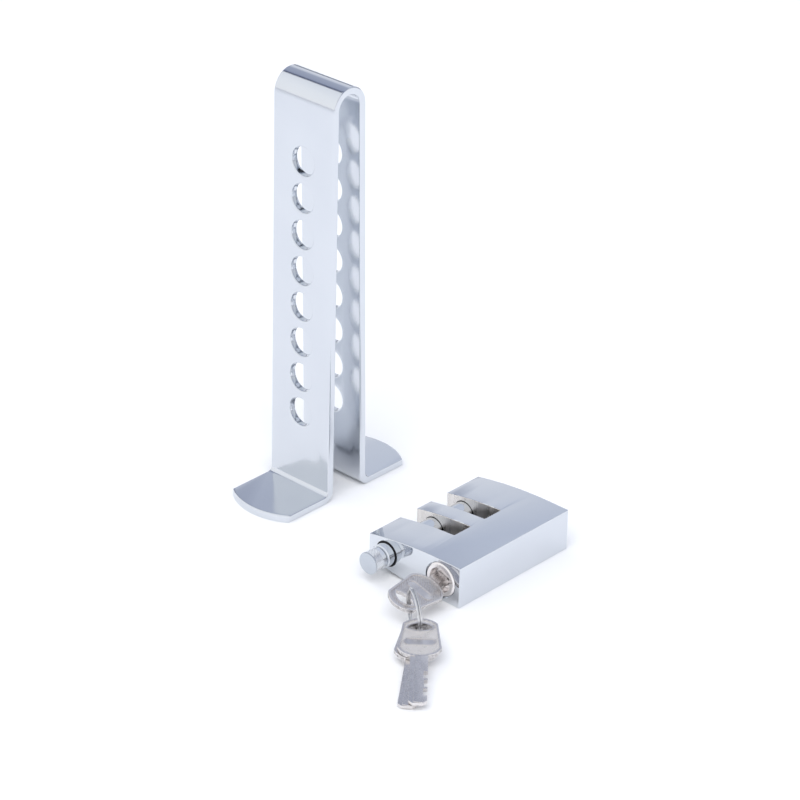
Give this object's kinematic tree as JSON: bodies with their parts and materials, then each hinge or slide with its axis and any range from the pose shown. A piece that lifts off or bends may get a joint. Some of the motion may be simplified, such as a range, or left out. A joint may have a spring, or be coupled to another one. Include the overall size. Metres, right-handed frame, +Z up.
{
  "type": "pedal lock",
  "caption": "Pedal lock: a bent-bar strap on outward feet with rows of holes, and a slotted lock body with cross bolt, key cylinder and keys on a ring.",
  "frame": {"origin": "centre of the whole set's box, on the surface that the strap's feet and the lock stand on", "axes": "+Z up, X across the strap's two legs and along the lock's bolt, the lock lies towards -Y of the strap with its key side facing -X"},
  "size_m": [0.1732, 0.2026, 0.2206],
  "materials": {
    "chrome_strap": "polished chrome plate on bent flat bar",
    "chrome_body": "polished chrome plate, milled slots",
    "chrome_bolt": "chromed round bar",
    "chrome_knurl": "diamond knurl, chromed",
    "black_rubber": "moulded seal",
    "dark_steel": "blackened",
    "steel": "bright drawn",
    "nickel": "nickel plate, turned",
    "brass": "stamped",
    "nickel_key": "nickel plate on stamped blanks",
    "steel_ring": "spring wire, nickel plated"
  },
  "bodies": {
    "strap": {"strap": "chrome_strap"},
    "lock": {"lock_body": "chrome_body", "bolt_seal": "black_rubber", "stop_screw": "dark_steel", "detent_ball": "steel", "detent_spring": "steel", "slider_bore_plug": "chrome_body", "cylinder_housing": "nickel", "cylinder_pin": "steel"},
    "bolt": {"locking_bolt": "chrome_bolt", "knurled_knob": "chrome_knurl"},
    "plug": {"plug": "nickel", "cam_spindle": "steel", "plug_clip": "steel", "wafers": "brass", "wafer_springs": "steel"},
    "slider": {"locking_slider": "steel"},
    "key": {"key_in_lock": "nickel_key"},
    "ring": {"split_ring": "steel_ring"},
    "spare_a": {"spare_key_a": "nickel_key"},
    "spare_b": {"spare_key_b": "nickel_key"}
  },
  "joints": [
    {"name": "lock_carry", "type": "slide", "parent": "strap", "child": "lock", "axis": [0.0403, 0.9331, 0.3573], "range_m": [0, 0.0643]},
    {"name": "bolt_slide", "type": "slide", "parent": "lock", "child": "bolt", "axis": [-1, 0, 0], "range_m": [0, 0.047]},
    {"name": "plug_turn", "type": "hinge", "parent": "lock", "child": "plug", "pos_m": [-0.00379, -0.04108, 0.011], "axis": [1, 0, 0], "range_deg": [-16, 74]},
    {"name": "slider_slide", "type": "slide", "parent": "lock", "child": "slider", "axis": [0, 1, 0], "range_m": [-0.00065, 0.00266]},
    {"name": "key_slide", "type": "slide", "parent": "plug", "child": "key", "axis": [-1, 0, 0], "range_m": [0, 0.033]},
    {"name": "ring_swing", "type": "hinge", "parent": "key", "child": "ring", "pos_m": [-0.0312, -0.04663, 0.011], "axis": [0.848, -0.5299, 0], "range_deg": [-40, 45]},
    {"name": "spare_a_round_ring", "type": "hinge", "parent": "ring", "child": "spare_a", "pos_m": [-0.03528, -0.05316, 0.01208], "axis": [-0.848, 0.5299, 0], "range_deg": [0, 70]},
    {"name": "spare_b_round_ring", "type": "hinge", "parent": "ring", "child": "spare_b", "pos_m": [-0.03528, -0.05316, 0.01208], "axis": [0.848, -0.5299, 0], "range_deg": [0, 40]}
  ],
  "couplings": [
    {"joint": "slider_slide", "follows": "plug_turn", "m_per_rad": 0.001981}
  ]
}
